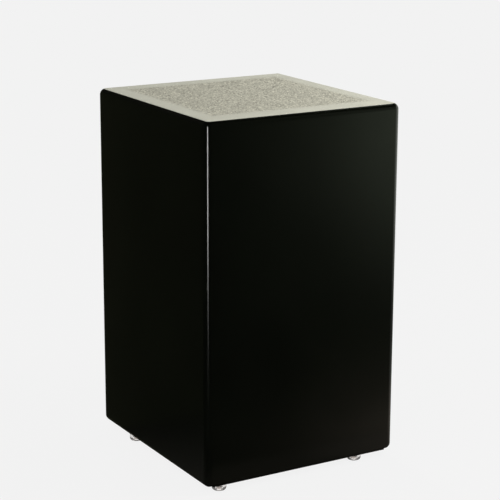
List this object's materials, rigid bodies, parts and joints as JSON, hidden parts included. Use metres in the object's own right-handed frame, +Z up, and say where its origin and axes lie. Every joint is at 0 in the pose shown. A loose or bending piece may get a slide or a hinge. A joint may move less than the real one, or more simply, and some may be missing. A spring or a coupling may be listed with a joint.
{
  "type": "cajon",
  "caption": "Box drum played by hand: rounded black lacquered box with a thin front plate, round rear sound hole, light anti-slip seat, clear feet and fixed snare wires inside.",
  "frame": {"origin": "on the floor plane under the centre of the box's footprint", "axes": "+Z up from the feet to the seat, the playing face toward -Y, the back with the sound hole toward +Y, +X to the right when facing the playing face"},
  "size_m": [0.2984, 0.3112, 0.5016],
  "materials": {
    "lacquered_panel": "satin black lacquer outside, bare birch plywood inside",
    "seat_sheet": "smooth light warm grey laminate",
    "seat_grit": "fine speckled anti-slip grit, light warm grey",
    "bare_birch": "sawn, unfinished",
    "beech": "planed, unfinished",
    "felt": "pressed felt",
    "snare_steel": "bright plated",
    "screw_steel": "zinc plated",
    "foot_rubber": "clear soft vinyl",
    "foot_steel": "plated"
  },
  "bodies": {
    "root": {"front_plate": "lacquered_panel", "back_panel": "lacquered_panel", "left_side_panel": "lacquered_panel", "right_side_panel": "lacquered_panel", "top_panel": "lacquered_panel", "bottom_panel": "lacquered_panel", "seat_sheet": "seat_sheet", "seat_grip_pad": "seat_grit", "glue_block_front_left": "bare_birch", "glue_block_front_right": "bare_birch", "glue_block_back_left": "bare_birch", "glue_block_back_right": "bare_birch", "glue_block_top_front": "bare_birch", "glue_block_top_back": "bare_birch", "glue_block_bottom_front": "bare_birch", "glue_block_bottom_back": "bare_birch", "snare_bar": "beech", "snare_cleat_left": "beech", "snare_cleat_right": "beech", "snare_bar_screw_left": "screw_steel", "snare_bar_screw_right": "screw_steel", "snare_bar_felt": "felt", "snare_plate_left": "snare_steel", "snare_plate_right": "snare_steel", "snare_wires_left": "snare_steel", "snare_wires_right": "snare_steel", "snare_clip_left": "snare_steel", "snare_clip_right": "snare_steel", "snare_plate_screws_left": "screw_steel", "snare_plate_screws_right": "screw_steel", "foot_front_left": "foot_rubber", "foot_front_right": "foot_rubber", "foot_rear_left": "foot_rubber", "foot_rear_right": "foot_rubber", "foot_washer_front_left": "foot_steel", "foot_washer_front_right": "foot_steel", "foot_washer_rear_left": "foot_steel", "foot_washer_rear_right": "foot_steel", "foot_screw_front_left": "foot_steel", "foot_screw_front_right": "foot_steel", "foot_screw_rear_left": "foot_steel", "foot_screw_rear_right": "foot_steel"}
  },
  "joints": []
}
